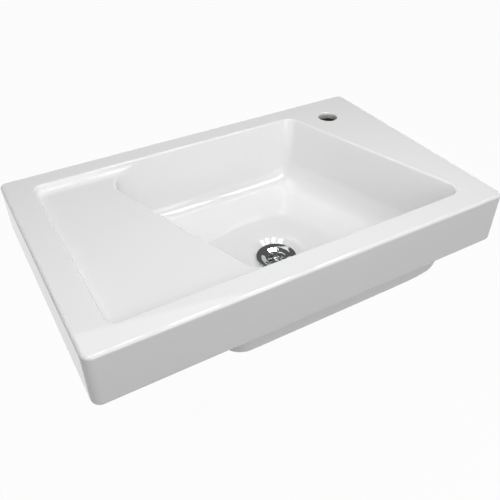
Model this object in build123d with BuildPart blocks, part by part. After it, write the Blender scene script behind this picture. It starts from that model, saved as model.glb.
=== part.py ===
"""Wall-mounted ceramic basin with a side shelf, its strainer waste and its wall fixings.

Millimetres. X runs to the right, Y into the wall and Z up. The origin is on the wall,
halfway between the two fixing bolts.
"""

from build123d import *
from math import cos, radians, sin, sqrt, tan
import os

os.makedirs("parts", exist_ok=True)

# Ceramic body, outside
basin_width = 650.0
basin_depth = 409.5
apron_height = 85.0
front_corner = 13.0
back_corner = 10.0
top_edge = 4.5
bottom_edge = 6.5

# Ceramic body, thicknesses
apron_wall = 10.0
deck_wall = 13.0
shelf_wall = 11.0
bowl_wall = 11.0
floor_wall = 26.0

# Rim, from the outside of the body to the inner edge
rim_left = 42.5
rim_back = 36.5
rim_front = 38.0
rim_right = 42.5

# Shelf
shelf_depth = 10.5
shelf_corner = 14.0
shelf_fillet = 5.0
shelf_lip = 5.0
rim_fillet = 3.0

# Bowl, measured at the rim along its front; both sides slant in plan
bowl_width = 361.0
bowl_skew_left = 18.0
bowl_skew_right = 16.4
bowl_depth = 109.0
draft_back = 10.5
draft_front = 4.0
draft_left = 8.0
draft_right = 15.0
round_back = 25.0
round_front = 25.0
round_left = 40.0
round_right = 54.0
corner_right = 22.0
corner_left = 50.0
corner_floor = 34.0

# Belly, the outside of the bowl that shows below the apron
belly_wall_front = 14.5
belly_wall_left = 50.0
belly_skew_left = 10.0
belly_corner_left = 35.0
belly_corner_right = 26.0
belly_round_right = 75.0
belly_edge = 8.0

# Waste hollow in the bowl floor
waste_from_left = 354.0
waste_from_wall = 243.0
fall_radius = 92.0
fall_depth = 1.5
dish_radius = 60.0
dish_step_radius = 46.0
dish_step_depth = 3.5
dish_round = 14.0
seat_radius = 34.5
seat_depth = 10.5
waste_hole = 46.0

# Tap hole
tap_hole = 34.0
tap_from_right = 77.0
tap_from_wall = 66.0
tap_hole_edge = 1.2

# Wall fixings
bolt_spacing = 450.0
bolt_drop = 55.0
bolt_diameter = 10.0
bolt_thread_diameter = 9.0
bolt_in_wall = 60.0
bolt_point = 9.0
bolt_spare = 5.0
bolt_bevel = 1.0
bolt_hole = 16.0
bush_flange = 28.0
bush_flange_thickness = 3.0
bush_clearance = 0.3
bush_short = 1.0
washer_diameter = 24.0
washer_thickness = 2.0
nut_across_flats = 17.0
nut_height = 8.0
thread_clearance = 0.1
seat_gap = 0.02

# Width of the band in which an edge or a face counts as being at a given place
near = 1.0

# How far one cut reaches into the one before it
cut_overlap = 0.02

# Strainer
flange_diameter = 65.0
strainer_sheet = 1.5
strainer_drop = 5.0
strainer_mouth = 49.0
strainer_floor = 33.0
strainer_bend = 1.2
strainer_turned = 32.0
flange_fall = 1.0
strainer_holes = 5
strainer_hole = 8.6
strainer_hole_circle = 21.6
screw_head = 11.5
screw_head_height = 2.4
screw_diameter = 6.0
screw_slot_width = 1.4
screw_slot_depth = 1.0
screw_short = 2.0

# Waste body and seals
seal_thickness = 2.0
seal_bore_clearance = 0.5
seal_inset = 1.0
body_seal_thickness = 3.0
body_flange = 62.0
body_flange_thickness = 3.0
body_wall = 2.5
cup_depth = 14.0
cup_bore = 45.0
tail_diameter = 41.9
tail_bore = 36.5
tail_length = 30.0
bridge_arms = 3
bridge_arm_width = 4.0
bridge_drop = 5.0
insert_diameter = 12.0
insert_height = 9.0

# Heights that several pieces share
rim_z = bolt_drop
skirt_z = rim_z - apron_height
floor_z = rim_z - bowl_depth
belly_z = floor_z - floor_wall
seat_z = floor_z - seat_depth
flange_z = seat_z + seal_thickness
waste_x = waste_from_left - basin_width / 2
waste_y = -waste_from_wall
waste_axis = Axis((waste_x, waste_y, 0), (0, 0, 1))
tap_x = basin_width / 2 - tap_from_right
tap_y = -tap_from_wall
bolt_x = bolt_spacing / 2

# Plan lines of the bowl at the rim
back_y = -rim_back
front_y = rim_front - basin_depth
shelf_left_x = rim_left - basin_width / 2
right_front_x = basin_width / 2 - rim_right
left_front_x = right_front_x - bowl_width


def inward(depth, draft, radius, floor):
    """How far a bowl side stands in from its rim line at a depth below the rim."""
    slope = tan(radians(draft))
    centre_depth = floor - radius
    centre_in = centre_depth * slope + radius / cos(radians(draft))
    if depth <= centre_depth + radius * sin(radians(draft)):
        return depth * slope
    return centre_in - sqrt(max(radius**2 - (depth - centre_depth) ** 2, 0.0))


def skewed(back, front, left_front, right_front, skew_left, skew_right):
    """Corners of a plan outline with slanted sides, whose x is given on the front line."""
    reach = back - front
    return [
        (left_front, front),
        (right_front, front),
        (right_front - reach * tan(radians(skew_right)), back),
        (left_front - reach * tan(radians(skew_left)), back),
    ]


def rounded_face(height, corners, radii):
    """A level face with one radius for each of its corners."""
    with BuildSketch(Plane.XY.offset(height)) as outline:
        with BuildLine():
            Polyline(*corners, close=True)
        make_face()
        for corner, radius in zip(corners, radii):
            if radius > 0:
                fillet(outline.vertices().sort_by_distance(corner)[0], radius)
    return outline.sketch.face()


def section_depths(radius, draft, floor, steps=7):
    """Depths of the level sections that follow a rounded side down to its floor."""
    turns = [draft + (90 - draft) * step / steps for step in range(steps + 1)]
    return [floor - radius * (1 - sin(radians(turn))) for turn in turns]


def edge_depths(radius, steps=4):
    """Depths of the level sections that follow a rounded edge, from its top."""
    return [radius * (1 - sin(radians(90 - 90 * step / steps))) for step in range(steps + 1)]


def flare(depth, radius):
    """How far a rounded edge stands back from its wall at a depth below its top."""
    return radius - sqrt(radius**2 - max(radius - depth, 0.0) ** 2)


def between(start, end, share):
    """The value that lies a share of the way from start to end."""
    return start + (end - start) * share


def bowl_face(depth, lip=0.0):
    """The inside of the bowl at a depth below the rim; lip widens it towards the shelf."""
    edge = flare(depth, rim_fillet)
    front_in = inward(depth, draft_front, round_front, bowl_depth) - edge
    back_in = inward(depth, draft_back, round_back, bowl_depth) - edge
    left_in = inward(depth, draft_left, round_left, bowl_depth) - edge - lip
    right_in = inward(depth, draft_right, round_right, bowl_depth) - edge
    corners = skewed(
        back_y - back_in,
        front_y + front_in,
        left_front_x + left_in / cos(radians(bowl_skew_left)) - front_in * tan(radians(bowl_skew_left)),
        right_front_x - right_in / cos(radians(bowl_skew_right)) - front_in * tan(radians(bowl_skew_right)),
        bowl_skew_left,
        bowl_skew_right,
    )
    left_radius = between(corner_left, corner_floor, depth / bowl_depth) + edge + lip
    right_radius = between(corner_right, corner_floor, depth / bowl_depth) + edge
    return rounded_face(rim_z - depth, corners, (left_radius, right_radius, right_radius, left_radius))


def shelf_face(depth):
    """The shelf recess at a depth below the rim; it runs on into the bowl."""
    edge = flare(depth, rim_fillet)
    front_in = inward(depth, draft_front, shelf_fillet, shelf_depth) - edge
    back_in = inward(depth, draft_back, shelf_fillet, shelf_depth) - edge
    corners = skewed(
        back_y - back_in,
        front_y + front_in,
        shelf_left_x + back_in,
        left_front_x + bowl_width / 4,
        0,
        bowl_skew_left,
    )
    radius = shelf_corner + edge
    return rounded_face(rim_z - depth, corners, (radius, 0, 0, radius))


def belly_face(depth):
    """The outside of the bowl at a depth below the rim."""
    belly_depth = rim_z - belly_z
    front_in = inward(depth, 0, belly_edge, belly_depth)
    back_in = inward(depth, draft_back, round_back + floor_wall, belly_depth)
    left_in = inward(depth, 0, belly_edge, belly_depth)
    right_in = inward(depth, draft_right, belly_round_right, belly_depth)
    corners = skewed(
        back_y + bowl_wall - back_in,
        front_y - belly_wall_front + front_in,
        left_front_x - belly_wall_left + left_in,
        right_front_x + (bowl_wall - right_in) / cos(radians(bowl_skew_right)),
        belly_skew_left,
        bowl_skew_right,
    )
    radii = (belly_corner_left, belly_corner_right, belly_corner_right, belly_corner_left)
    return rounded_face(rim_z - depth, corners, radii)


# Basin: one ceramic casting
with BuildPart() as basin:
    # Block as large as rim and apron, with soft outer edges
    with BuildSketch(Plane.XY.offset(rim_z)) as outside:
        with Locations((0, -basin_depth / 2)):
            Rectangle(basin_width, basin_depth)
        fillet(outside.vertices().group_by(Axis.Y)[0], front_corner)
        fillet(outside.vertices().group_by(Axis.Y)[-1], back_corner)
    extrude(amount=-apron_height)
    fillet(basin.faces().sort_by(Axis.Z)[-1].edges(), top_edge)
    fillet(basin.faces().sort_by(Axis.Z)[0].edges(), bottom_edge)

    # Hollow underside, open below
    with BuildSketch(Plane.XY.offset(skirt_z)) as hollow:
        with Locations((0, -basin_depth / 2)):
            Rectangle(basin_width - 2 * apron_wall, basin_depth - 2 * apron_wall)
        fillet(hollow.vertices(), apron_wall / 2)
    extrude(amount=apron_height - deck_wall, mode=Mode.SUBTRACT)

    # Plate under the shelf
    shelf_plate = skewed(
        back_y + shelf_wall,
        front_y - shelf_wall,
        shelf_left_x - shelf_wall,
        right_front_x,
        0,
        bowl_skew_right,
    )
    add(rounded_face(rim_z - deck_wall / 2, shelf_plate, (shelf_corner + shelf_wall,) * 4))
    extrude(amount=-(shelf_depth + shelf_wall - deck_wall / 2))

    # Body of the bowl, down to the belly
    belly_depths = section_depths(belly_round_right, draft_right, rim_z - belly_z)
    loft([belly_face(depth) for depth in [deck_wall / 2] + belly_depths], ruled=True)

    # Shelf recess and inside of the bowl, whose back and front walls are one
    shelf_depths = edge_depths(rim_fillet) + section_depths(shelf_fillet, draft_back, shelf_depth, 4)
    loft([shelf_face(depth) for depth in shelf_depths], ruled=True, mode=Mode.SUBTRACT)
    bowl_depths = edge_depths(rim_fillet) + section_depths(round_right, draft_right, bowl_depth)
    loft([bowl_face(depth) for depth in bowl_depths], ruled=True, mode=Mode.SUBTRACT)

    # Rounded lip between shelf and bowl
    lip_faces = []
    for depth in edge_depths(shelf_lip):
        lip_faces.append(bowl_face(shelf_depth + depth, flare(depth, shelf_lip) - cut_overlap))
    loft(lip_faces, ruled=True, mode=Mode.SUBTRACT)

    # Fall of the floor, hollow and seat round the waste
    with BuildSketch(Plane((waste_x, waste_y, floor_z), x_dir=(1, 0, 0), z_dir=(0, -1, 0))) as dish:
        with BuildLine():
            Polyline(
                (0, 0),
                (fall_radius, 0),
                (dish_radius, -fall_depth),
                (dish_step_radius, -dish_step_depth),
                (seat_radius, -seat_depth),
                (0, -seat_depth),
                close=True,
            )
        make_face()
        soft = dish.vertices().filter_by_position(Axis.X, dish_step_radius - near, dish_radius + near)
        fillet(soft, dish_round)
    revolve(axis=waste_axis, mode=Mode.SUBTRACT)
    with BuildSketch(Plane.XY.offset(belly_z)):
        with Locations((waste_x, waste_y)):
            Circle(waste_hole / 2)
    extrude(amount=floor_wall, mode=Mode.SUBTRACT)

    # Tap hole with a glaze-soft edge
    with BuildSketch(Plane((tap_x, tap_y, rim_z), x_dir=(1, 0, 0), z_dir=(0, -1, 0))):
        with BuildLine():
            edge_centre = (tap_hole / 2 + tap_hole_edge, -tap_hole_edge)
            Polyline(
                (tap_hole / 2, -tap_hole_edge),
                (tap_hole / 2, -deck_wall),
                (0, -deck_wall),
                (0, 0),
                (tap_hole / 2 + tap_hole_edge, 0),
            )
            CenterArc(edge_centre, tap_hole_edge, 90, 90)
        make_face()
    revolve(axis=Axis((tap_x, tap_y, 0), (0, 0, 1)), mode=Mode.SUBTRACT)

    # Holes for the fixing bolts, through the back of the apron
    with BuildSketch(Plane.XZ):
        with Locations((-bolt_x, 0), (bolt_x, 0)):
            Circle(bolt_hole / 2)
    extrude(amount=apron_wall, mode=Mode.SUBTRACT)
basin.part.label = "basin"
export_step(basin.part, "parts/basin.step")

# Strainer: a pressed dish with a flange that rests on its seal
strainer_top = flange_z + strainer_sheet
plate_z = strainer_top - strainer_drop
strainer_turn = Plane((waste_x, waste_y, strainer_top), x_dir=(1, 0, 0), z_dir=(0, -1, 0))
with BuildPart() as strainer:
    with BuildSketch(strainer_turn) as sheet:
        with BuildLine():
            Polyline(
                (0, -strainer_drop),
                (strainer_floor / 2, -strainer_drop),
                (strainer_mouth / 2, -flange_fall),
                (flange_diameter / 2, 0),
                (flange_diameter / 2, -strainer_sheet),
                (strainer_mouth / 2, -flange_fall - strainer_sheet),
                (strainer_floor / 2, -strainer_drop - strainer_sheet),
                (0, -strainer_drop - strainer_sheet),
                close=True,
            )
        make_face()
        bends = sheet.vertices().filter_by_position(Axis.X, near, flange_diameter / 2 - near)
        fillet(bends, strainer_bend)
    revolve(axis=waste_axis)
    with BuildSketch(Plane.XY.offset(plate_z)):
        with Locations((waste_x, waste_y)):
            with PolarLocations(strainer_hole_circle / 2, strainer_holes, start_angle=strainer_turned):
                Circle(strainer_hole / 2)
            Circle(screw_diameter / 2 + bush_clearance)
    extrude(amount=-2 * strainer_sheet, mode=Mode.SUBTRACT)
strainer.part.label = "strainer"
export_step(strainer.part, "parts/strainer.step")

# Waste body: a cup below the belly, a threaded tail and a bridge with an insert
cup_top = belly_z - body_seal_thickness
bridge_z = cup_top - bridge_drop
insert_z = bridge_z - insert_height
body_turn = Plane((waste_x, waste_y, cup_top), x_dir=(1, 0, 0), z_dir=(0, -1, 0))
with BuildPart() as waste_body:
    with BuildSketch(body_turn):
        with BuildLine():
            Polyline(
                (cup_bore / 2, 0),
                (body_flange / 2, 0),
                (body_flange / 2, -body_flange_thickness),
                (cup_bore / 2 + body_wall, -body_flange_thickness),
                (tail_diameter / 2, -cup_depth),
                (tail_diameter / 2, -cup_depth - tail_length),
                (tail_bore / 2, -cup_depth - tail_length),
                (tail_bore / 2, -cup_depth),
                (cup_bore / 2, -body_flange_thickness),
                close=True,
            )
        make_face()
    revolve(axis=waste_axis)
    with BuildSketch(Plane.XY.offset(bridge_z)):
        with Locations((waste_x, waste_y)):
            Circle(insert_diameter / 2 + body_wall)
            with PolarLocations(0, bridge_arms):
                with Locations((tail_diameter / 4, 0)):
                    Rectangle(tail_diameter / 2, bridge_arm_width)
            Circle(insert_diameter / 2 + seat_gap, mode=Mode.SUBTRACT)
    extrude(amount=-insert_height)
waste_body.part.label = "waste_body"
export_step(waste_body.part, "parts/waste_body.step")

# Threaded insert held in the bridge
with BuildPart() as thread_insert:
    with BuildSketch(Plane.XY.offset(bridge_z)):
        with Locations((waste_x, waste_y)):
            Circle(insert_diameter / 2)
            Circle(screw_diameter / 2 + thread_clearance, mode=Mode.SUBTRACT)
    extrude(amount=-insert_height)
thread_insert.part.label = "thread_insert"
export_step(thread_insert.part, "parts/thread_insert.step")

# Screw that pulls the strainer and the waste body together
head_z = plate_z + seat_gap
with BuildPart() as strainer_screw:
    with BuildSketch(Plane.XY.offset(head_z)):
        with Locations((waste_x, waste_y)):
            Circle(screw_head / 2)
    extrude(amount=screw_head_height)
    fillet(strainer_screw.edges().group_by(Axis.Z)[-1], screw_head_height / 2)
    with BuildSketch(Plane.XY.offset(head_z + screw_head_height)):
        with Locations((waste_x, waste_y)):
            Rectangle(screw_head, screw_slot_width)
    extrude(amount=-screw_slot_depth, mode=Mode.SUBTRACT)
    with BuildSketch(Plane.XY.offset(head_z)):
        with Locations((waste_x, waste_y)):
            Circle(screw_diameter / 2)
    extrude(amount=insert_z - head_z + screw_short)
strainer_screw.part.label = "strainer_screw"
export_step(strainer_screw.part, "parts/strainer_screw.step")

# Seal between the strainer's sloping flange and its seat in the bowl
with BuildPart() as flange_seal:
    seal_inner = strainer_mouth / 2 + seal_bore_clearance
    seal_outer = flange_diameter / 2 - seal_inset
    flange_slope = flange_fall / (flange_diameter / 2 - strainer_mouth / 2)
    with BuildSketch(Plane((waste_x, waste_y, seat_z), x_dir=(1, 0, 0), z_dir=(0, -1, 0))):
        with BuildLine():
            Polyline(
                (seal_inner, 0),
                (seal_outer, 0),
                (seal_outer, seal_thickness - flange_slope * (flange_diameter / 2 - seal_outer)),
                (seal_inner, seal_thickness - flange_slope * (flange_diameter / 2 - seal_inner)),
                close=True,
            )
        make_face()
    revolve(axis=waste_axis)
flange_seal.part.label = "flange_seal"
export_step(flange_seal.part, "parts/flange_seal.step")

# Seal between the belly and the waste body
with BuildPart() as body_seal:
    with BuildSketch(Plane.XY.offset(cup_top)):
        with Locations((waste_x, waste_y)):
            Circle(body_flange / 2 - seal_inset)
            Circle(waste_hole / 2 + seal_bore_clearance, mode=Mode.SUBTRACT)
    extrude(amount=body_seal_thickness)
body_seal.part.label = "body_seal"
export_step(body_seal.part, "parts/body_seal.step")

# Wall fixings, one set on each side; a stack of pieces along each bolt
inner_wall_y = -apron_wall
washer_y = inner_wall_y - bush_flange_thickness
nut_y = washer_y - washer_thickness
bolt_end_y = nut_y - nut_height - bolt_spare
for side, x in (("left", -bolt_x), ("right", bolt_x)):
    # Bolt: machine thread for the nut, wood thread and point in the wall
    with BuildPart() as hanger_bolt:
        with BuildSketch(Plane((x, 0, 0), x_dir=(1, 0, 0), z_dir=(0, 0, 1))):
            with BuildLine():
                Polyline(
                    (0, bolt_end_y),
                    (bolt_thread_diameter / 2 - bolt_bevel, bolt_end_y),
                    (bolt_thread_diameter / 2, bolt_end_y + bolt_bevel),
                    (bolt_thread_diameter / 2, 0),
                    (bolt_diameter / 2, 0),
                    (bolt_diameter / 2, bolt_in_wall - bolt_point),
                    (0, bolt_in_wall),
                    close=True,
                )
            make_face()
        revolve(axis=Axis((x, 0, 0), (0, 1, 0)))
    hanger_bolt.part.label = "hanger_bolt_" + side
    export_step(hanger_bolt.part, "parts/hanger_bolt_" + side + ".step")

    # Bush: sleeve in the ceramic's hole and flange on its inner face
    with BuildPart() as fixing_bush:
        with BuildSketch(Plane.XZ.offset(-inner_wall_y)):
            with Locations((x, 0)):
                Circle(bush_flange / 2)
                Circle(bolt_diameter / 2 + bush_clearance, mode=Mode.SUBTRACT)
        extrude(amount=bush_flange_thickness)
        with BuildSketch(Plane.XZ.offset(-inner_wall_y)):
            with Locations((x, 0)):
                Circle(bolt_hole / 2 - bush_clearance)
                Circle(bolt_diameter / 2 + bush_clearance, mode=Mode.SUBTRACT)
        extrude(amount=inner_wall_y + bush_short)
    fixing_bush.part.label = "fixing_bush_" + side
    export_step(fixing_bush.part, "parts/fixing_bush_" + side + ".step")

    # Washer
    with BuildPart() as fixing_washer:
        with BuildSketch(Plane.XZ.offset(-washer_y)):
            with Locations((x, 0)):
                Circle(washer_diameter / 2)
                Circle(bolt_diameter / 2 + bush_clearance, mode=Mode.SUBTRACT)
        extrude(amount=washer_thickness)
    fixing_washer.part.label = "fixing_washer_" + side
    export_step(fixing_washer.part, "parts/fixing_washer_" + side + ".step")

    # Nut
    with BuildPart() as fixing_nut:
        with BuildSketch(Plane.XZ.offset(-nut_y)):
            with Locations((x, 0)):
                RegularPolygon(nut_across_flats / 2, 6, major_radius=False)
                Circle(bolt_thread_diameter / 2 + thread_clearance, mode=Mode.SUBTRACT)
        extrude(amount=nut_height)
    fixing_nut.part.label = "fixing_nut_" + side
    export_step(fixing_nut.part, "parts/fixing_nut_" + side + ".step")
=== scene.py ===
"""Looks of a wall-mounted ceramic basin with a side shelf, its strainer waste and its wall fixings.

Shapes are worked out in millimetres in the part's frame: X to the right, Y into the wall, Z up,
with the origin on the wall halfway between the two fixing bolts. Meshes are in metres.
"""

from math import cos, pi, radians, sin, tan

import bpy
import numpy as np
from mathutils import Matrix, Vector


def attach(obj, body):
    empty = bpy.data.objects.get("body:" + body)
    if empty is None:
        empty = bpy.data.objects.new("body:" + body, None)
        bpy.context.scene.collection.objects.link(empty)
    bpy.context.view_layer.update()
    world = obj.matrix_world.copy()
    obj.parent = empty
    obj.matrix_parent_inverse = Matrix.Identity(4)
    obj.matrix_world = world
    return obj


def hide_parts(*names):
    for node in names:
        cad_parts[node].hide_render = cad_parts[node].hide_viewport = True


MM = 0.001

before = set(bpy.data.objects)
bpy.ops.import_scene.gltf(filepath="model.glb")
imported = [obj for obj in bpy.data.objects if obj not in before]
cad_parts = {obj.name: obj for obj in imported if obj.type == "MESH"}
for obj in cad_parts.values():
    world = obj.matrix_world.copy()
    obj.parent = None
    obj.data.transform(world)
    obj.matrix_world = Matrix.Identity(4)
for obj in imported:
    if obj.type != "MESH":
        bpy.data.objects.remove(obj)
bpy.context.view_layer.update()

# Ceramic body, as in the part
basin_width = 650.0
basin_depth = 409.5
apron_height = 85.0
front_corner = 13.0
back_corner = 10.0
top_edge = 4.5
bottom_edge = 6.5
apron_wall = 10.0
deck_wall = 13.0
shelf_wall = 11.0
bowl_wall = 11.0
floor_wall = 26.0
rim_left = 42.5
rim_back = 36.5
rim_front = 38.0
rim_right = 42.5
rim_fillet = 3.0
shelf_depth = 10.5
shelf_corner = 14.0
shelf_fillet = 5.0
bowl_width = 361.0
bowl_skew_left = 18.0
bowl_skew_right = 16.4
bowl_depth = 109.0
draft_back = 10.5
draft_front = 4.0
draft_left = 8.0
draft_right = 15.0
round_back = 25.0
round_front = 25.0
round_left = 40.0
round_right = 54.0
corner_right = 22.0
corner_left = 50.0
corner_floor = 34.0
belly_wall_front = 14.5
belly_wall_left = 50.0
belly_skew_left = 10.0
belly_corner_left = 35.0
belly_corner_right = 26.0
belly_round_right = 75.0
belly_edge = 8.0
waste_from_left = 354.0
waste_from_wall = 243.0
waste_hole = 46.0
tap_hole = 34.0
tap_from_right = 77.0
tap_from_wall = 66.0
tap_hole_edge = 1.2
bolt_spacing = 450.0
bolt_drop = 55.0
bolt_hole = 16.0

# Strainer, waste body and seals, as in the part
flange_diameter = 65.0
strainer_sheet = 1.5
strainer_drop = 5.0
strainer_mouth = 49.0
strainer_floor = 33.0
strainer_turned = 32.0
flange_fall = 1.0
strainer_holes = 5
strainer_hole = 8.6
strainer_hole_circle = 21.6
screw_head = 11.5
screw_head_height = 2.4
screw_diameter = 6.0
screw_slot_width = 1.4
screw_slot_depth = 1.0
screw_short = 2.0
seat_depth = 10.5
seal_thickness = 2.0
seal_bore_clearance = 0.5
seal_inset = 1.0
body_seal_thickness = 3.0
body_flange = 62.0
body_flange_thickness = 3.0
body_wall = 2.5
cup_depth = 14.0
cup_bore = 45.0
tail_diameter = 41.9
tail_bore = 36.5
tail_length = 30.0
bridge_arms = 3
bridge_arm_width = 4.0
bridge_drop = 5.0
insert_diameter = 12.0
insert_height = 9.0

# Wall fixings, as in the part
bolt_diameter = 10.0
bolt_thread_diameter = 9.0
bolt_in_wall = 60.0
bolt_point = 9.0
bolt_spare = 5.0
bolt_bevel = 1.0
bush_flange = 28.0
bush_flange_thickness = 3.0
bush_clearance = 0.3
bush_short = 1.0
washer_diameter = 24.0
washer_thickness = 2.0
nut_across_flats = 17.0
nut_height = 8.0
thread_clearance = 0.1
seat_gap = 0.02

# Soft glazed edges and inside corners that the part leaves sharp
hole_edge = 1.2
inner_edge = 3.0
hollow_fillet = 4.0
plate_edge = 3.0

# Roundings, bevels and threads that only the looks have
near_axis = 0.01
wood_bare_axis = 0.15
crest_tolerance = 0.01
strainer_bend = 0.8
flange_bend = 0.05
strainer_hole_edge = 0.4
fine_edge = 0.2
slot_edge = 0.25
bridge_edge = 0.7
bridge_fillet = 1.5
screw_in_head = 0.4
screw_shank = 6.0
screw_bevel = 0.8
screw_pitch = 1.0
screw_thread_depth = 0.6
tail_edge = 0.8
tail_shank = 3.0
tail_pitch = 2.309
tail_thread_depth = 1.0
flange_seal_edge = 0.4
body_seal_edge = 0.5
insert_bevel = 0.6
bolt_step = 0.3
bolt_tip = 0.2
bolt_pitch = 1.5
bolt_thread_depth = 0.5
bolt_thread_end = -1.0
wood_low = 9.0
wood_pitch = 3.6
wood_run_in = 4.0
wood_taper = 6.0
wood_core = 0.72
wood_ridge = 0.16
nut_edge = 0.15
nut_bevel = 0.4
nut_bevel_angle = 30
nut_bore_edge = 0.1
nut_bore_bevel = 0.9
nut_bore_bevel_angle = 45

# Hollow round the waste: distance from the waste, height above the bowl's floor, softness
dish = ((34.5, -10.5, 1.0), (46.0, -3.5, 2.2), (60.0, -1.5, 3.0), (92.0, 0.0, 8.0))

rim_z = bolt_drop
skirt_z = rim_z - apron_height
shelf_z = rim_z - shelf_depth
floor_z = rim_z - bowl_depth
belly_z = floor_z - floor_wall
waste_x = waste_from_left - basin_width / 2
waste_y = -waste_from_wall
tap_x = basin_width / 2 - tap_from_right
tap_y = -tap_from_wall
bolt_x = bolt_spacing / 2
strainer_top = floor_z - seat_depth + seal_thickness + strainer_sheet
head_z = strainer_top - strainer_drop + seat_gap
cup_top = belly_z - body_seal_thickness
bridge_z = cup_top - bridge_drop
insert_z = bridge_z - insert_height
tail_z = cup_top - cup_depth - tail_length
washer_y = -apron_wall - bush_flange_thickness
nut_y = washer_y - washer_thickness
bolt_end_y = nut_y - nut_height - bolt_spare
back_y = -rim_back
front_y = rim_front - basin_depth
shelf_left_x = rim_left - basin_width / 2
right_front_x = basin_width / 2 - rim_right
left_front_x = right_front_x - bowl_width


# Forms: functions that give each point's distance to a surface, negative inside it


def both(a, b, radius, cosine=0.0):
    """Where two forms overlap, with their common edge rounded.

    cosine is that of the angle between the two faces' normals.
    """
    u, v = a + radius, b + radius
    arc = np.sqrt(np.maximum(u * u + v * v - 2 * cosine * u * v, 0) / (1 - cosine**2)) - radius
    return np.where((u > cosine * v) & (v > cosine * u), arc, np.maximum(a, b))


def either(a, b, radius, cosine=0.0):
    """Two forms joined, with the inside corner between them rounded."""
    return -both(-a, -b, radius, cosine)


def without(a, b, radius, cosine=0.0):
    """The first form less the second, with the edge between them rounded."""
    return both(a, -b, radius, cosine)


def rectangle(x, y, centre, half, radius):
    """An upright block with rounded corners, without end."""
    across = np.abs(x - centre[0]) - half[0] + radius
    along = np.abs(y - centre[1]) - half[1] + radius
    outside = np.hypot(np.maximum(across, 0), np.maximum(along, 0))
    return outside + np.minimum(np.maximum(across, along), 0) - radius


def wall(x, y, depth, point, turn, draft):
    """A wall that stands on a plan line and leans inwards as it goes down."""
    across = (x - point[0]) * cos(radians(turn)) + (y - point[1]) * sin(radians(turn))
    return across * cos(radians(draft)) + depth * sin(radians(draft))


def wall_cosine(first, second):
    """Cosine of the angle between the normals of two leaning walls."""
    leans = sin(radians(first[2])) * sin(radians(second[2]))
    uprights = cos(radians(first[2])) * cos(radians(second[2]))
    return cos(radians(first[1] - second[1])) * uprights + leans


def tub(x, y, depth, walls, corners, floor, blend=15.0):
    """A tub of four leaning walls, rounded into each other and into the floor.

    Each wall is (point, turn, draft, rounding into the floor), in order round the tub. corners are
    the radii between each wall and the next. blend is the width over which roundings change.
    """
    sides = [wall(x, y, depth, point, turn, draft) for point, turn, draft, _ in walls]
    ring = both(sides[0], sides[1], corners[0], wall_cosine(walls[0], walls[1]))
    ring = both(ring, sides[2], corners[1], wall_cosine(walls[1], walls[2]))
    nearer_first = sides[0] > sides[2]
    radius = np.where(nearer_first, corners[3], corners[2])
    cosine = np.where(nearer_first, wall_cosine(walls[3], walls[0]), wall_cosine(walls[2], walls[3]))
    ring = both(ring, sides[3], radius, cosine)
    nearest = np.maximum.reduce(sides)
    shares = [np.exp((side - nearest) / blend) for side in sides]
    rounding = sum(share * item[3] for share, item in zip(shares, walls)) / sum(shares)
    lean = sum(share * sin(radians(item[2])) for share, item in zip(shares, walls)) / sum(shares)
    return both(ring, floor, rounding, lean)


def between(start, end, share):
    """The value that lies a share of the way from start to end."""
    return start + (end - start) * share


def eased(value):
    """A value from 0 to 1 that starts and ends softly."""
    share = np.clip(value, 0, 1)
    return share * share * (3 - 2 * share)


def soft_slopes(distance, knots):
    """Height along a line of straight slopes with soft bends.

    Each knot is (distance, height, softness). The line is level before the first and after the last.
    """
    height = knots[0][1]
    slope_before = 0.0
    for step, (place, level, bend) in enumerate(knots):
        slope = 0.0
        if step + 1 < len(knots):
            slope = (knots[step + 1][1] - level) / (knots[step + 1][0] - place)
        reach = distance - place
        height = height + (slope - slope_before) * (reach + np.hypot(reach, bend)) / 2
        slope_before = slope
    return height


def dish_height(x, y):
    """Height of the bowl's floor round the waste."""
    return soft_slopes(np.hypot(x - waste_x, y - waste_y), dish)


def apron_form(x, y, z):
    """The block with its soft edges, hollow below, and the plate that carries the shelf."""
    middle = (0, -basin_depth / 2)
    corner = np.where(y < -basin_depth / 2, front_corner, back_corner)
    block = rectangle(x, y, middle, (basin_width / 2, basin_depth / 2), corner)
    block = both(both(block, z - rim_z, top_edge), skirt_z - z, bottom_edge)
    half = (basin_width / 2 - apron_wall, basin_depth / 2 - apron_wall)
    hollow = both(rectangle(x, y, middle, half, apron_wall / 2), z - (rim_z - deck_wall), hollow_fillet)
    plate_left = shelf_left_x - shelf_wall
    plate = rectangle(
        x,
        y,
        ((plate_left + left_front_x) / 2, (back_y + front_y) / 2),
        ((left_front_x - plate_left) / 2, (back_y - front_y) / 2 + shelf_wall),
        shelf_corner + shelf_wall,
    )
    plate = both(plate, shelf_z - shelf_wall - z, plate_edge)
    plate = np.maximum(plate, z - (rim_z - deck_wall / 2))
    return either(without(block, hollow, inner_edge), plate, hollow_fillet)


def belly_form(x, y, z):
    """The outside of the bowl."""
    front = front_y - belly_wall_front
    right = right_front_x + bowl_wall / cos(radians(bowl_skew_right))
    walls = (
        ((0, front), -90, 0, belly_edge),
        ((right, front), bowl_skew_right, draft_right, belly_round_right),
        ((0, back_y + bowl_wall), 90, draft_back, round_back + floor_wall),
        ((left_front_x - belly_wall_left, front), 180 + belly_skew_left, 0, belly_edge),
    )
    corners = (belly_corner_right, belly_corner_right, belly_corner_left, belly_corner_left)
    belly = tub(x, y, rim_z - z, walls, corners, belly_z - z)
    return np.maximum(belly, z - (rim_z - deck_wall / 2))


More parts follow.
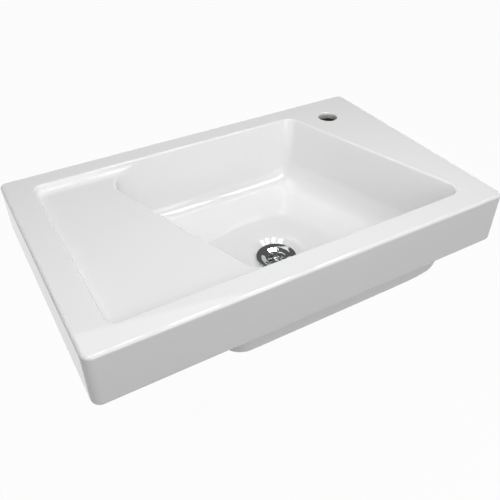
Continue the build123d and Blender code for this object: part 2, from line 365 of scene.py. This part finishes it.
def bowl_form(x, y, z):
    """The inside of the bowl."""
    depth = rim_z - z
    walls = (
        ((0, front_y), -90, draft_front, round_front),
        ((right_front_x, front_y), bowl_skew_right, draft_right, round_right),
        ((0, back_y), 90, draft_back, round_back),
        ((left_front_x, front_y), 180 + bowl_skew_left, draft_left, round_left),
    )
    share = np.clip(depth / bowl_depth, 0, 1)
    right = between(corner_right, corner_floor, share)
    left = between(corner_left, corner_floor, share)
    floor = floor_z + dish_height(x, y) - z
    return tub(x, y, depth, walls, (right, right, left, left), floor)


def recess_form(x, y, z):
    """The bowl and the shelf recess, with a soft lip between them."""
    depth = rim_z - z
    back = wall(x, y, depth, (0, back_y), 90, draft_back)
    front = wall(x, y, depth, (0, front_y), -90, draft_front)
    left = wall(x, y, depth, (shelf_left_x, 0), 180, draft_back)
    end = wall(x, y, depth, (left_front_x + bowl_width / 4, front_y), bowl_skew_left, 0)
    shelf = both(np.maximum(front, back), left, shelf_corner, sin(radians(draft_back)) ** 2)
    shelf = both(np.maximum(shelf, end), shelf_z - z, shelf_fillet, sin(radians(draft_back)))
    # The lip fades out where bowl and shelf share the back and front walls
    lip = shelf_fillet * eased(-np.maximum(back, front) / (2 * shelf_corner))
    return either(bowl_form(x, y, z), shelf, lip, sin(radians(draft_left)))


def basin_form(x, y, z):
    """The whole ceramic body."""
    body = either(apron_form(x, y, z), belly_form(x, y, z), hollow_fillet)
    body = without(body, recess_form(x, y, z), rim_fillet, sin(radians(draft_back)))
    body = without(body, np.hypot(x - waste_x, y - waste_y) - waste_hole / 2, hole_edge)
    body = without(body, np.hypot(x - tap_x, y - tap_y) - tap_hole / 2, tap_hole_edge)
    bolts = np.hypot(np.abs(x) - bolt_x, z) - bolt_hole / 2
    bolts = np.maximum(bolts, -2 * apron_wall - y)
    return without(body, bolts, hole_edge)


def strainer_form(x, y, z):
    """The pressed strainer with its holes."""
    u, v = x - waste_x, y - waste_y
    from_axis = np.hypot(u, v)
    knots = (
        (strainer_floor / 2, -strainer_drop, strainer_bend),
        (strainer_mouth / 2, -flange_fall, strainer_bend),
        (flange_diameter / 2, 0.0, flange_bend),
    )
    top = strainer_top + soft_slopes(from_axis, knots)
    sheet = both(z - top, top - strainer_sheet - z, strainer_sheet / 4)
    sheet = both(sheet, from_axis - flange_diameter / 2, strainer_sheet / 3)
    for step in range(strainer_holes):
        turn = radians(strainer_turned + 360 * step / strainer_holes)
        across = u - strainer_hole_circle / 2 * cos(turn)
        along = v - strainer_hole_circle / 2 * sin(turn)
        sheet = without(sheet, np.hypot(across, along) - strainer_hole / 2, strainer_hole_edge)
    return without(sheet, from_axis - screw_diameter / 2 - bush_clearance, fine_edge)


def screw_head_form(x, y, z):
    """The domed, slotted head of the strainer screw."""
    u, v = x - waste_x, y - waste_y
    top = head_z + screw_head_height
    head = both(np.hypot(u, v) - screw_head / 2, z - top, screw_head_height / 2)
    head = both(head, head_z - z, fine_edge)
    slot = both(np.abs(v) - screw_slot_width / 2, top - screw_slot_depth - z, fine_edge)
    return without(head, slot, slot_edge)


def bridge_form(x, y, z):
    """The bridge in the waste body: a hub with a bore, and its arms."""
    u, v = x - waste_x, y - waste_y
    from_axis = np.hypot(u, v)
    bridge = from_axis - insert_diameter / 2 - body_wall
    for step in range(bridge_arms):
        turn = 2 * pi * step / bridge_arms
        along = u * cos(turn) + v * sin(turn)
        across = v * cos(turn) - u * sin(turn)
        span = np.maximum(along - tail_diameter / 2, -along)
        arm = np.maximum(np.abs(across) - bridge_arm_width / 2, span)
        bridge = either(bridge, arm, bridge_fillet)
    bridge = both(both(bridge, z - bridge_z, bridge_edge), insert_z - z, bridge_edge)
    return without(bridge, from_axis - insert_diameter / 2 - seat_gap, fine_edge)


def nut_form(x, y, z):
    """A hexagon nut round the Y axis, with turned chamfers on both faces and in its bore."""
    from_axis = np.hypot(x, z)
    middle = nut_y - nut_height / 2
    from_middle = np.abs(y - middle) - nut_height / 2
    nut = np.maximum.reduce([x * cos(turn) + z * sin(turn) for turn in np.radians(range(0, 360, 60))])
    nut = both(nut - nut_across_flats / 2, from_middle, nut_edge)
    angle = radians(nut_bevel_angle)
    bevel = from_middle + (from_axis - nut_across_flats / 2 + nut_bevel) * tan(angle)
    nut = np.maximum(nut, bevel * cos(angle))
    bore = bolt_thread_diameter / 2 + thread_clearance
    nut = without(nut, from_axis - bore, nut_bore_edge)
    bore_bevel = bore + nut_bore_bevel - from_axis + from_middle
    return np.maximum(nut, bore_bevel * cos(radians(nut_bore_bevel_angle)))


def form_gradient(form, points, step=0.02):
    """Slope of a form at points, along X, Y and Z."""
    slopes = []
    for axis in range(3):
        offset = np.zeros(3)
        offset[axis] = step
        ahead, behind = points + offset, points - offset
        slopes.append((form(*ahead.T) - form(*behind.T)) / (2 * step))
    return np.array(slopes).T


def settle(form, points, limit):
    """Moves points along a form's slope onto its surface, by at most limit in each step."""
    for _ in range(4):
        slope = form_gradient(form, points)
        steep = np.maximum((slope**2).sum(axis=1), 1e-6)
        move = -slope * (form(*points.T) / steep)[:, None]
        length = np.sqrt((move**2).sum(axis=1))
        points = points + move * np.minimum(1, limit / np.maximum(length, 1e-9))[:, None]
    return points


def surface_net(form, low, high, cell):
    """A form's surface as points and four-sided faces, one point to each cell that it passes."""
    axes = [np.arange(start, end + cell, cell) for start, end in zip(low, high)]
    inside = form(*np.meshgrid(*axes, indexing="ij")) < 0
    count = np.zeros([size - 1 for size in inside.shape], int)
    for i in (0, 1):
        for j in (0, 1):
            for k in (0, 1):
                count += inside[i : i - 1 or None, j : j - 1 or None, k : k - 1 or None]
    passed = (count > 0) & (count < 8)
    index = np.full(passed.shape, -1)
    index[passed] = np.arange(passed.sum())
    cells = np.argwhere(passed)
    points = np.array([axis[0] + cell / 2 for axis in axes]) + cells * cell
    faces = []
    for axis in range(3):
        u, v = (axis + 1) % 3, (axis + 2) % 3
        ahead = np.moveaxis(inside, (axis, u, v), (0, 1, 2))[:, 1:-1, 1:-1]
        turned = np.moveaxis(index, (axis, u, v), (0, 1, 2))
        crossing = ahead[:-1] != ahead[1:]
        leaving = ahead[:-1][crossing]
        corners = [turned[:, :-1, :-1], turned[:, 1:, :-1], turned[:, 1:, 1:], turned[:, :-1, 1:]]
        quads = np.array([corner[crossing] for corner in corners]).T
        faces.append(quads[leaving])
        faces.append(quads[~leaving][:, ::-1])
    return settle(form, points, cell), np.concatenate(faces)


def relaxed(form, points, faces, cell, rounds=3):
    """Points spread evenly over the surface that they lie on."""
    edges = np.concatenate([faces[:, (side, (side + 1) % 4)] for side in range(4)])
    for _ in range(rounds):
        total = np.zeros_like(points)
        number = np.zeros(len(points))
        for start, end in ((0, 1), (1, 0)):
            np.add.at(total, edges[:, start], points[edges[:, end]])
            np.add.at(number, edges[:, start], 1)
        middle = total / np.maximum(number, 1)[:, None]
        slope = form_gradient(form, points)
        normal = slope / np.linalg.norm(slope, axis=1)[:, None]
        move = middle - points
        move -= normal * (move * normal).sum(axis=1)[:, None]
        points = settle(form, points + move / 2, cell / 2)
    return points


def outline_of(corners, spacing=None):
    """Points of an outline whose corners are (radius, height, rounding).

    spacing puts further points along its straight stretches.
    """
    points = []
    for step, (radius, height, rounding) in enumerate(corners):
        here = np.array((radius, height))
        before = np.array(corners[step - 1][:2]) - here
        after = np.array(corners[(step + 1) % len(corners)][:2]) - here
        if rounding:
            start = here + before * rounding / np.linalg.norm(before)
            end = here + after * rounding / np.linalg.norm(after)
            for share in np.linspace(0, 1, 5):
                rest = 1 - share
                points.append(start * rest**2 + 2 * here * share * rest + end * share**2)
        else:
            points.append(here)
    if spacing is None:
        return points
    filled = []
    for step, here in enumerate(points):
        ahead = points[(step + 1) % len(points)]
        number = max(int(np.linalg.norm(ahead - here) / spacing), 1)
        filled += [here + (ahead - here) * part / number for part in range(number)]
    return filled


def turned(outline, centre, along, steps=96, threaded=None):
    """Points and faces of an outline of radii and heights, turned round an axis through centre.

    along is "z" or "y". threaded changes the radii by radius, height and turn.
    """
    radii, heights = np.array(outline).T
    ring = np.arange(steps) * 2 * pi / steps
    radius = np.repeat(radii[:, None], steps, axis=1)
    height = np.repeat(heights[:, None], steps, axis=1)
    if threaded is not None:
        radius = threaded(radius, height, ring[None, :])
    across, aside = radius * np.cos(ring), radius * np.sin(ring)
    if along == "z":
        points = np.stack([centre[0] + across, centre[1] + aside, height], axis=-1)
    else:
        points = np.stack([centre[0] + across, height, centre[1] - aside], axis=-1)
    index = np.arange(points.shape[0] * steps).reshape(-1, steps)
    after = np.roll(index, -1, axis=0)
    faces = np.stack([index, np.roll(index, -1, axis=1), np.roll(after, -1, axis=1), after], axis=-1)
    area = (radii * np.roll(heights, -1) - heights * np.roll(radii, -1)).sum()
    faces = faces.reshape(-1, 4)
    return points.reshape(-1, 3), faces if area > 0 else faces[:, ::-1]


def thread(low, high, crest, root, pitch, sharp=2.0):
    """A helical thread between two heights, for turned; its ends run out over half a pitch."""

    def threaded(radius, height, turn):
        phase = (height / pitch - turn / (2 * pi)) % 1
        groove = np.clip(sharp * (1 - 2 * np.abs(phase - 0.5)), 0, 1)
        ends = np.clip(np.minimum(height - low, high - height) / (pitch / 2), 0, 1)
        on_crest = np.abs(radius - crest) < crest_tolerance
        return np.where(on_crest, radius - (crest - root) * groove * ends, radius)

    return threaded


def joined(*shapes):
    """Several shapes' points and faces as one."""
    points, faces, number = [], [], 0
    for some_points, some_faces in shapes:
        points.append(some_points)
        faces.append(some_faces + number)
        number += len(some_points)
    return np.concatenate(points), np.concatenate(faces)


def shape_of(form, low, high, cell):
    """Points and faces of a form's surface."""
    points, faces = surface_net(form, low, high, cell)
    return relaxed(form, points, faces, cell), faces


def add_mesh(name, points, faces, slot_name, material, normals=None):
    """A piece of the part from points in millimetres."""
    mesh = bpy.data.meshes.new(name)
    mesh.from_pydata((np.asarray(points) * MM).tolist(), [], [list(face) for face in faces])
    mesh.validate()
    mesh.polygons.foreach_set("use_smooth", [True] * len(mesh.polygons))
    if normals is None:
        mesh.set_sharp_from_angle(angle=radians(35))
    else:
        mesh.normals_split_custom_set_from_vertices(normals.tolist())
    mesh.materials.append(material)
    piece = bpy.data.objects.new(name, mesh)
    bpy.context.scene.collection.objects.link(piece)
    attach(piece, "root")
    return piece


def add_form(name, form, low, high, cell, slot_name, material):
    """A piece whose surface is that of a form, with the form's own normals."""
    points, faces = shape_of(form, low, high, cell)
    slope = form_gradient(form, points)
    normals = slope / np.linalg.norm(slope, axis=1)[:, None]
    return add_mesh(name, points, faces, slot_name, material, normals)


# Materials


def new_material(name):
    """An empty material, its nodes and a function that links two sockets."""
    material = bpy.data.materials.new(name)
    material.use_nodes = True
    tree = material.node_tree
    return material, tree.nodes, tree.links.new, tree.nodes["Principled BSDF"]


def add_noise(nodes, link, scale, detail, coordinates):
    """A noise texture over the object's own coordinates."""
    noise = nodes.new("ShaderNodeTexNoise")
    noise.inputs["Scale"].default_value = scale
    noise.inputs["Detail"].default_value = detail
    link(coordinates.outputs["Object"], noise.inputs["Vector"])
    return noise


def add_range(nodes, link, source, low, high, target):
    """Feeds a texture's value, spread over a range, to a socket."""
    spread = nodes.new("ShaderNodeMapRange")
    spread.inputs["From Min"].default_value = 0.3
    spread.inputs["From Max"].default_value = 0.7
    spread.inputs["To Min"].default_value = low
    spread.inputs["To Max"].default_value = high
    link(source, spread.inputs["Value"])
    link(spread.outputs["Result"], target)


def add_bump(nodes, link, height, distance, strength, shader, before=None):
    """Raises a shader's surface by a texture's value."""
    bump = nodes.new("ShaderNodeBump")
    bump.inputs["Distance"].default_value = distance
    bump.inputs["Strength"].default_value = strength
    link(height, bump.inputs["Height"])
    if before is not None:
        link(before.outputs["Normal"], bump.inputs["Normal"])
    link(bump.outputs["Normal"], shader.inputs["Normal"])
    return bump


def mixed_colour(nodes, link, factor, first, second, target):
    """Mixes two colours by a factor into a socket."""
    mix = nodes.new("ShaderNodeMix")
    mix.data_type = "RGBA"
    mix.inputs["A"].default_value = (*first, 1)
    mix.inputs["B"].default_value = (*second, 1)
    link(factor, mix.inputs["Factor"])
    link(mix.outputs["Result"], target)


def glaze_material():
    """White sanitary glaze: slightly uneven in colour, gloss and surface."""
    material, nodes, link, shader = new_material("white_glaze")
    coordinates = nodes.new("ShaderNodeTexCoord")
    cloud = add_noise(nodes, link, 9.0, 3.0, coordinates)
    mixed_colour(
        nodes,
        link,
        cloud.outputs["Fac"],
        (0.81, 0.81, 0.812),
        (0.84, 0.84, 0.843),
        shader.inputs["Base Color"],
    )
    grain = add_noise(nodes, link, 60.0, 2.0, coordinates)
    add_range(nodes, link, grain.outputs["Fac"], 0.02, 0.04, shader.inputs["Roughness"])
    wave = add_noise(nodes, link, 26.0, 1.0, coordinates)
    slow = add_bump(nodes, link, wave.outputs["Fac"], 0.0006, 0.06, shader)
    peel = add_noise(nodes, link, 240.0, 2.0, coordinates)
    add_bump(nodes, link, peel.outputs["Fac"], 0.00005, 0.05, shader, slow)
    shader.inputs["IOR"].default_value = 1.52
    shader.inputs["Coat Weight"].default_value = 0.15
    shader.inputs["Coat Roughness"].default_value = 0.015
    return material


def metal_material(name, first, second, roughness, scale, bump):
    """A metal whose tone, gloss and surface vary a little.

    first and second are its two colours, roughness the lowest and highest, scale that of the noise.
    """
    material, nodes, link, shader = new_material(name)
    coordinates = nodes.new("ShaderNodeTexCoord")
    cloud = add_noise(nodes, link, scale, 4.0, coordinates)
    mixed_colour(nodes, link, cloud.outputs["Fac"], first, second, shader.inputs["Base Color"])
    grain = add_noise(nodes, link, scale * 6, 3.0, coordinates)
    add_range(nodes, link, grain.outputs["Fac"], *roughness, shader.inputs["Roughness"])
    add_bump(nodes, link, grain.outputs["Fac"], 0.0002, bump, shader)
    shader.inputs["Metallic"].default_value = 1.0
    return material


def moulded_material(name, first, second, roughness, scale):
    """Moulded rubber or nylon with a fine matt grain."""
    material, nodes, link, shader = new_material(name)
    coordinates = nodes.new("ShaderNodeTexCoord")
    cloud = add_noise(nodes, link, scale, 4.0, coordinates)
    mixed_colour(nodes, link, cloud.outputs["Fac"], first, second, shader.inputs["Base Color"])
    grain = add_noise(nodes, link, scale * 12, 3.0, coordinates)
    add_range(nodes, link, grain.outputs["Fac"], *roughness, shader.inputs["Roughness"])
    add_bump(nodes, link, grain.outputs["Fac"], 0.0003, 0.2, shader)
    return material


glaze = glaze_material()
# Unglazed biscuit, darker than real unglazed ceramic: painted shade for the hollow under the apron and
# the tap hole
biscuit_painted_shade = moulded_material(
    "unglazed_ceramic_painted_shade",
    (0.42, 0.405, 0.38),
    (0.50, 0.485, 0.46),
    (0.85, 0.95),
    60.0,
)
biscuit_painted_shade.node_tree.nodes["Principled BSDF"].inputs["Specular IOR Level"].default_value = 0.1
chrome = metal_material(
    "chrome_plate",
    (0.68, 0.69, 0.70),
    (0.74, 0.75, 0.76),
    (0.03, 0.08),
    80.0,
    0.02,
)
zinc = metal_material(
    "zinc_plate",
    (0.55, 0.57, 0.60),
    (0.70, 0.71, 0.72),
    (0.25, 0.42),
    220.0,
    0.2,
)
brass = metal_material(
    "turned_brass",
    (0.66, 0.48, 0.20),
    (0.74, 0.57, 0.28),
    (0.18, 0.32),
    200.0,
    0.15,
)
nylon = moulded_material(
    "natural_nylon",
    (0.74, 0.74, 0.71),
    (0.82, 0.82, 0.79),
    (0.38, 0.5),
    90.0,
)
rubber = moulded_material(
    "black_rubber",
    (0.025, 0.025, 0.026),
    (0.05, 0.05, 0.05),
    (0.55, 0.75),
    120.0,
)

# Basin
reach = 4.0
basin = add_form(
    "basin_glazed",
    basin_form,
    (-basin_width / 2 - reach, -basin_depth - reach, belly_z - reach),
    (basin_width / 2 + reach, reach, rim_z + reach),
    2.5,
    "glaze",
    glaze,
)
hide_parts("basin")

# The hollow inside the apron and the tap hole below its rim stay unglazed; their unglazed colour is
# made darker than real biscuit, as painted shade in these hollows
glazed_rim = 4.5
margin = 0.5
basin.data.materials.append(biscuit_painted_shade)
centres = np.array([polygon.center for polygon in basin.data.polygons]) / MM
inside = rectangle(
    *centres.T[:2],
    (0, -basin_depth / 2),
    (basin_width / 2 - apron_wall, basin_depth / 2 - apron_wall),
    apron_wall / 2,
)
unglazed_painted_shade = (inside < margin) & (centres[:, 2] > skirt_z + inner_edge)
unglazed_painted_shade &= centres[:, 2] < rim_z - deck_wall + margin
unglazed_painted_shade &= belly_form(*centres.T) > hollow_fillet
unglazed_painted_shade &= recess_form(*centres.T) > shelf_wall / 2
tap_bore = np.hypot(centres[:, 0] - tap_x, centres[:, 1] - tap_y) < tap_hole / 2 + margin
unglazed_painted_shade |= tap_bore & (centres[:, 2] < rim_z - glazed_rim)
basin.data.polygons.foreach_set("material_index", unglazed_painted_shade.astype(int))

# Strainer and its screw
waste = (waste_x, waste_y)


def round_waste(half, low, high):
    """Lowest and highest corner of a box round the waste's axis."""
    return (waste_x - half, waste_y - half, low), (waste_x + half, waste_y + half, high)


low, high = round_waste(flange_diameter / 2 + 2, strainer_top - strainer_drop - 4, strainer_top + 2)
strainer = add_form("strainer_pressed", strainer_form, low, high, 0.55, "chrome", chrome)
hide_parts("strainer")

low, high = round_waste(screw_head / 2 + 1, head_z - 1, head_z + screw_head_height + 1)
screw_end = insert_z - screw_short
screw_outline = outline_of(
    (
        (near_axis, head_z + screw_in_head, 0),
        (near_axis, screw_end, 0),
        (screw_diameter / 2 - screw_bevel, screw_end, 0),
        (screw_diameter / 2, screw_end + screw_bevel, 0),
        (screw_diameter / 2, head_z + screw_in_head, 0),
    ),
    0.125,
)
screw = add_mesh(
    "strainer_screw_slotted",
    *joined(
        shape_of(screw_head_form, low, high, 0.3),
        turned(
            screw_outline,
            waste,
            "z",
            48,
            thread(
                screw_end,
                head_z - screw_shank,
                screw_diameter / 2,
                screw_diameter / 2 - screw_thread_depth,
                screw_pitch,
            ),
        ),
    ),
    "chrome",
    chrome,
)
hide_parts("strainer_screw")

# Waste body with its threaded tail and its bridge
body_outline = outline_of(
    (
        (cup_bore / 2, cup_top, 0.4),
        (body_flange / 2, cup_top, 0.6),
        (body_flange / 2, cup_top - body_flange_thickness, 0.6),
        (cup_bore / 2 + body_wall, cup_top - body_flange_thickness, 0.8),
        (tail_diameter / 2, cup_top - cup_depth, 0.8),
        (tail_diameter / 2, tail_z, tail_edge),
        (tail_bore / 2, tail_z, 0.3),
        (tail_bore / 2, cup_top - cup_depth, 0.8),
        (cup_bore / 2, cup_top - body_flange_thickness, 0.5),
    ),
    0.3,
)
low, high = round_waste(tail_diameter / 2 + 1, insert_z - 1, bridge_z + 1)
waste_body = add_mesh(
    "waste_body_threaded",
    *joined(
        turned(
            body_outline,
            waste,
            "z",
            128,
            thread(
                tail_z + tail_edge,
                cup_top - cup_depth - tail_shank,
                tail_diameter / 2,
                tail_diameter / 2 - tail_thread_depth,
                tail_pitch,
            ),
        ),
        shape_of(bridge_form, low, high, 0.8),
    ),
    "chrome",
    chrome,
)
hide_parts("waste_body")

# Seals and threaded insert
seal_inner = strainer_mouth / 2 + seal_bore_clearance
seal_outer = flange_diameter / 2 - seal_inset
flange_slope = flange_fall / (flange_diameter / 2 - strainer_mouth / 2)
seat_z = floor_z - seat_depth
seal_top = seat_z + seal_thickness
seal_top_inner = seal_top - flange_slope * (flange_diameter / 2 - seal_inner)
seal_top_outer = seal_top - flange_slope * (flange_diameter / 2 - seal_outer)
flange_seal = add_mesh(
    "flange_seal_rubber",
    *turned(
        outline_of(
            (
                (seal_inner, seat_z, flange_seal_edge),
                (seal_outer, seat_z, flange_seal_edge),
                (seal_outer, seal_top_outer, flange_seal_edge),
                (seal_inner, seal_top_inner, flange_seal_edge),
            )
        ),
        waste,
        "z",
    ),
    "rubber",
    rubber,
)
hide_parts("flange_seal")
body_seal = add_mesh(
    "body_seal_rubber",
    *turned(
        outline_of(
            (
                (waste_hole / 2 + seal_bore_clearance, cup_top, body_seal_edge),
                (body_flange / 2 - seal_inset, cup_top, body_seal_edge),
                (body_flange / 2 - seal_inset, belly_z, body_seal_edge),
                (waste_hole / 2 + seal_bore_clearance, belly_z, body_seal_edge),
            )
        ),
        waste,
        "z",
    ),
    "rubber",
    rubber,
)
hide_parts("body_seal")
insert_bore = screw_diameter / 2 + thread_clearance
thread_insert = add_mesh(
    "thread_insert_turned",
    *turned(
        outline_of(
            (
                (insert_bore + insert_bevel, insert_z, 0),
                (insert_diameter / 2, insert_z, insert_bevel),
                (insert_diameter / 2, bridge_z, insert_bevel),
                (insert_bore + insert_bevel, bridge_z, 0),
                (insert_bore, bridge_z - insert_bevel, 0),
                (insert_bore, insert_z + insert_bevel, 0),
            )
        ),
        waste,
        "z",
        64,
    ),
    "brass",
    brass,
)
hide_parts("thread_insert")

# Wall fixings
bolt_outline = outline_of(
    (
        (near_axis, bolt_end_y, 0),
        (bolt_thread_diameter / 2 - bolt_bevel, bolt_end_y, 0),
        (bolt_thread_diameter / 2, bolt_end_y + bolt_bevel, 0),
        (bolt_thread_diameter / 2, -bolt_step, 0),
        (bolt_diameter / 2, bolt_step, 0),
        (bolt_diameter / 2, bolt_in_wall - bolt_point, 0),
        (bolt_tip, bolt_in_wall, 0),
        (near_axis, bolt_in_wall, 0),
    ),
    0.25,
)


def bolt_threads(radius, height, turn):
    """A fine machine thread for the nut, and a coarse wood thread that tapers to the point."""
    crest = bolt_thread_diameter / 2
    machine = thread(bolt_end_y, bolt_thread_end, crest, crest - bolt_thread_depth, bolt_pitch)
    radius = machine(radius, height, turn)
    phase = (height / wood_pitch - turn / (2 * pi)) % 1
    ridge = np.clip(1 - np.abs(phase - 0.5) / wood_ridge, 0, 1)
    core = np.clip((bolt_in_wall - height) / (bolt_point + wood_taper), 0, 1) * wood_core
    start = np.clip((height - wood_low) / wood_run_in, 0, 1)
    bare = bolt_diameter / 2 * (1 - start * (1 - core - (1 - core) * ridge))
    return np.where((height > wood_low) & (radius > wood_bare_axis), np.minimum(radius, bare), radius)


bush_bore = bolt_diameter / 2 + bush_clearance
bush_outline = outline_of(
    (
        (bush_bore, washer_y, 0.3),
        (bush_flange / 2, washer_y, 0.8),
        (bush_flange / 2, -apron_wall, 0.5),
        (bolt_hole / 2 - bush_clearance, -apron_wall, 0),
        (bolt_hole / 2 - bush_clearance, -bush_short, 0.5),
        (bush_bore, -bush_short, 0.3),
    )
)
washer_outline = outline_of(
    (
        (bush_bore, nut_y, 0.2),
        (washer_diameter / 2, nut_y, 0.4),
        (washer_diameter / 2, washer_y, 0.2),
        (bush_bore, washer_y, 0.2),
    )
)
nut_reach = nut_across_flats / 2 / cos(radians(30)) + 1
nut_shape = shape_of(
    nut_form,
    (-nut_reach, nut_y - nut_height - 1, -nut_reach),
    (nut_reach, nut_y + 1, nut_reach),
    0.5,
)
for side, x in (("left", -bolt_x), ("right", bolt_x)):
    at = (x, 0.0)
    bolt_shape = turned(bolt_outline, at, "y", 64, bolt_threads)
    bolt = add_mesh("hanger_bolt_threaded_" + side, *bolt_shape, "zinc_steel", zinc)
    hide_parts("hanger_bolt_" + side)
    bush = add_mesh("fixing_bush_moulded_" + side, *turned(bush_outline, at, "y"), "nylon", nylon)
    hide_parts("fixing_bush_" + side)
    washer_shape = turned(washer_outline, at, "y")
    washer = add_mesh("fixing_washer_rounded_" + side, *washer_shape, "zinc_steel", zinc)
    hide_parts("fixing_washer_" + side)
    nut_points, nut_faces = nut_shape
    nut_points = nut_points + (x, 0, 0)
    nut = add_mesh("fixing_nut_chamfered_" + side, nut_points, nut_faces, "zinc_steel", zinc)
    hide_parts("fixing_nut_" + side)


# Camera at the photograph's viewpoint
camera = bpy.data.objects.new("camera", bpy.data.cameras.new("camera"))
bpy.context.scene.collection.objects.link(camera)
camera.location = (-0.3803, -0.8618, 0.5418)
camera.rotation_euler = (radians(51.42), 0, radians(-30.19))
camera.data.sensor_width = 36.0
camera.data.lens = 42.62
camera.data.clip_start = 0.01
bpy.context.scene.camera = camera

# Floor and surroundings
floor_drop = 0.795
floor_half = 9
floor_mesh = bpy.data.meshes.new("floor")
floor_corners = [(-floor_half, -floor_half, 0), (floor_half, -floor_half, 0)]
floor_corners += [(floor_half, floor_half, 0), (-floor_half, floor_half, 0)]
floor_mesh.from_pydata(floor_corners, [], [(0, 1, 2, 3)])
floor = bpy.data.objects.new("floor", floor_mesh)
floor.location = (0, 0, -floor_drop)
bpy.context.scene.collection.objects.link(floor)


def any_ray(nodes, link, paths, names):
    """1 for rays of any of these kinds, otherwise 0."""
    found = paths.outputs[names[0]]
    for name in names[1:]:
        larger = nodes.new("ShaderNodeMath")
        larger.operation = "MAXIMUM"
        link(found, larger.inputs[0])
        link(paths.outputs[name], larger.inputs[1])
        found = larger.outputs["Value"]
    return found


def white_backdrop(nodes, link, share, lit, output):
    """White to the camera, to glossy surfaces and through glass; otherwise the lit surface itself.

    share is how much of what they see is this white; the rest keeps the shadows. The nodes of the
    light paths and of the emission are returned, and an emission of strength 1 is white.
    """
    paths = nodes.new("ShaderNodeLightPath")
    part = nodes.new("ShaderNodeMath")
    part.operation = "MULTIPLY"
    part.inputs[1].default_value = share
    seen = any_ray(nodes, link, paths, ("Is Camera Ray", "Is Glossy Ray", "Is Transmission Ray"))
    link(seen, part.inputs[0])
    white = nodes.new("ShaderNodeEmission")
    white.inputs["Color"].default_value = (1, 1, 1, 1)
    white.inputs["Strength"].default_value = 1.0
    mix = nodes.new("ShaderNodeMixShader")
    link(part.outputs["Value"], mix.inputs["Fac"])
    link(lit, mix.inputs[1])
    link(white.outputs["Emission"], mix.inputs[2])
    link(mix.outputs["Shader"], output.inputs["Surface"])
    return paths, white


floor_share = 0.96
floor_material, nodes, link, shader = new_material("pale_floor")
shader.inputs["Roughness"].default_value = 0.9
floor_output = nodes["Material Output"]
paths, _ = white_backdrop(nodes, link, floor_share, shader.outputs["BSDF"], floor_output)
# Little light comes back up from the floor onto the object's underside
mixed_colour(
    nodes,
    link,
    paths.outputs["Is Diffuse Ray"],
    (0.9, 0.9, 0.9),
    (0.1, 0.1, 0.1),
    shader.inputs["Base Color"],
)
floor_mesh.materials.append(floor_material)

world = bpy.data.worlds.new("world")
bpy.context.scene.world = world
world.use_nodes = True
nodes, link = world.node_tree.nodes, world.node_tree.links.new
ambient = nodes["Background"]
ambient.inputs["Color"].default_value = (1, 1, 1, 1)
ambient.inputs["Strength"].default_value = 0.17
sky_output = nodes["World Output"]
paths, sky_white = white_backdrop(nodes, link, 1.0, ambient.outputs["Background"], sky_output)

# Glossy surfaces see the white backdrop at the horizon and a dark ceiling above it
direction = nodes.new("ShaderNodeTexCoord")
parts = nodes.new("ShaderNodeSeparateXYZ")
link(direction.outputs["Generated"], parts.inputs["Vector"])
ceiling = nodes.new("ShaderNodeMapRange")
ceiling.interpolation_type = "SMOOTHSTEP"
ceiling.inputs["From Min"].default_value = 0.15
ceiling.inputs["From Max"].default_value = 0.5
ceiling.inputs["To Min"].default_value = 1.0
ceiling.inputs["To Max"].default_value = 0.12
link(parts.outputs["Z"], ceiling.inputs["Value"])
brighter = nodes.new("ShaderNodeMath")
brighter.operation = "MAXIMUM"
link(ceiling.outputs["Result"], brighter.inputs[0])
link(paths.outputs["Is Camera Ray"], brighter.inputs[1])
link(brighter.outputs["Value"], sky_white.inputs["Strength"])

middle = Vector((0.0, -0.2, 0.0))


def add_lamp(name, azimuth, elevation, distance, size, power, aside=0.0):
    """An oblong area lamp that looks at the object.

    Azimuth 0 is in front of the object and 90 on its right. aside moves the lamp to its own right.
    """
    data = bpy.data.lights.new(name, "AREA")
    data.shape = "RECTANGLE"
    data.size, data.size_y = size
    data.energy = power
    lamp = bpy.data.objects.new(name, data)
    turn, rise = radians(azimuth), radians(elevation)
    towards = Vector((sin(turn) * cos(rise), -cos(turn) * cos(rise), sin(rise)))
    right = Vector((cos(turn), sin(turn), 0.0))
    lamp.location = middle + towards * distance + right * aside
    lamp.rotation_euler = towards.to_track_quat("Z", "Y").to_euler()
    bpy.context.scene.collection.objects.link(lamp)


add_lamp("lamp_front_left", 315, 50, 2.2, (1.0, 1.0), 5.5)
add_lamp("lamp_low_left", 300, 15, 2.2, (1.0, 1.0), 1.5)
add_lamp("lamp_front", 0, 21, 1.5, (1.1, 1.1), 8.5)
add_lamp("lamp_behind", 170, 62, 2.2, (1.0, 1.0), 3.0)

# A long window overhead, in five panes
window_panes = 5
pane_width = 0.165
pane_pitch = 0.25
pane_length = 0.34
pane_power = 1.55
window_shift = 0.12
window_azimuth = 352
window_elevation = 82
window_distance = 1.06
for pane in range(window_panes):
    aside = window_shift + (pane - (window_panes - 1) / 2) * pane_pitch
    add_lamp(
        "window_pane_" + str(pane + 1),
        window_azimuth,
        window_elevation,
        window_distance,
        (pane_width, pane_length),
        pane_power,
        aside,
    )

bpy.context.scene.view_settings.view_transform = "Standard"
